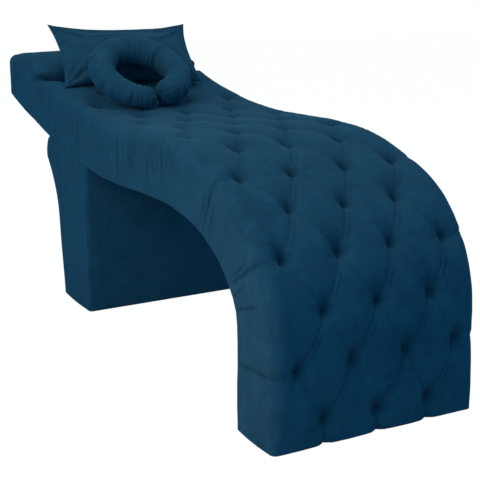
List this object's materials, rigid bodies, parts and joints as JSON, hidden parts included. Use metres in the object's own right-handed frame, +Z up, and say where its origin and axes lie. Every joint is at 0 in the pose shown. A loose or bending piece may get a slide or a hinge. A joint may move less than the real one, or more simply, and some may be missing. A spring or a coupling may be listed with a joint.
{
  "type": "eyelash extension bed",
  "caption": "Velvet eyelash extension bed: a button-tufted curved deck running down to the floor at the foot, a pedestal under the shoulders, a loose pillow and a horseshoe neck cushion.",
  "frame": {"origin": "on the floor, under the middle of the bed's length and width", "axes": "+Z up, +Y along the bed from the foot to the head, +X across it, to the right of someone looking from the foot to the head"},
  "size_m": [0.6, 1.925, 0.8797],
  "materials": {
    "velvet": "short-pile deep petrol-blue velvet over foam",
    "hardboard": "bare hardboard",
    "plywood": "bare plywood",
    "pine": "planed bare pine",
    "zinc": "zinc-plated steel",
    "nylon": "black moulded nylon"
  },
  "bodies": {
    "bed": {"arch_lining": "velvet", "head_lining": "velvet", "base_front_cover": "velvet", "base_rear_cover": "velvet", "left_base_cover": "velvet", "right_base_cover": "velvet", "tufted_pad": "velvet", "head_pad": "velvet", "left_side_cover": "velvet", "right_side_cover": "velvet", "head_end_cover": "velvet", "deck_board": "hardboard", "left_side_board": "plywood", "right_side_board": "plywood", "base_top_board": "plywood", "base_front_panel": "plywood", "base_rear_panel": "plywood", "left_base_panel": "plywood", "right_base_panel": "plywood", "deck_batten_1": "pine", "deck_batten_2": "pine", "deck_batten_3": "pine", "deck_batten_4": "pine", "deck_batten_5": "pine", "deck_batten_6": "pine", "deck_batten_7": "pine", "deck_batten_8": "pine", "foot_rail": "pine", "head_rail": "pine", "bearer_1": "pine", "bearer_2": "pine", "base_front_rail": "pine", "base_rear_rail": "pine", "bolt_1": "zinc", "bolt_2": "zinc", "bolt_3": "zinc", "bolt_4": "zinc", "washer_1": "zinc", "washer_2": "zinc", "washer_3": "zinc", "washer_4": "zinc", "nut_1": "zinc", "nut_2": "zinc", "nut_3": "zinc", "nut_4": "zinc", "foot_glide_1": "nylon", "foot_glide_2": "nylon", "foot_glide_3": "nylon", "foot_glide_4": "nylon", "base_glide_1": "nylon", "base_glide_2": "nylon", "base_glide_3": "nylon", "base_glide_4": "nylon"},
    "pillow": {"pillow": "velvet"},
    "neck_cushion": {"neck_cushion": "velvet"}
  },
  "joints": [
    {"name": "pillow_lift", "type": "slide", "parent": "bed", "child": "pillow", "axis": [0, 0.5736, 0.8192], "range_m": [0, 0.25]},
    {"name": "neck_cushion_lift", "type": "slide", "parent": "bed", "child": "neck_cushion", "axis": [0, -0.4848, 0.8746], "range_m": [0, 0.25]}
  ]
}
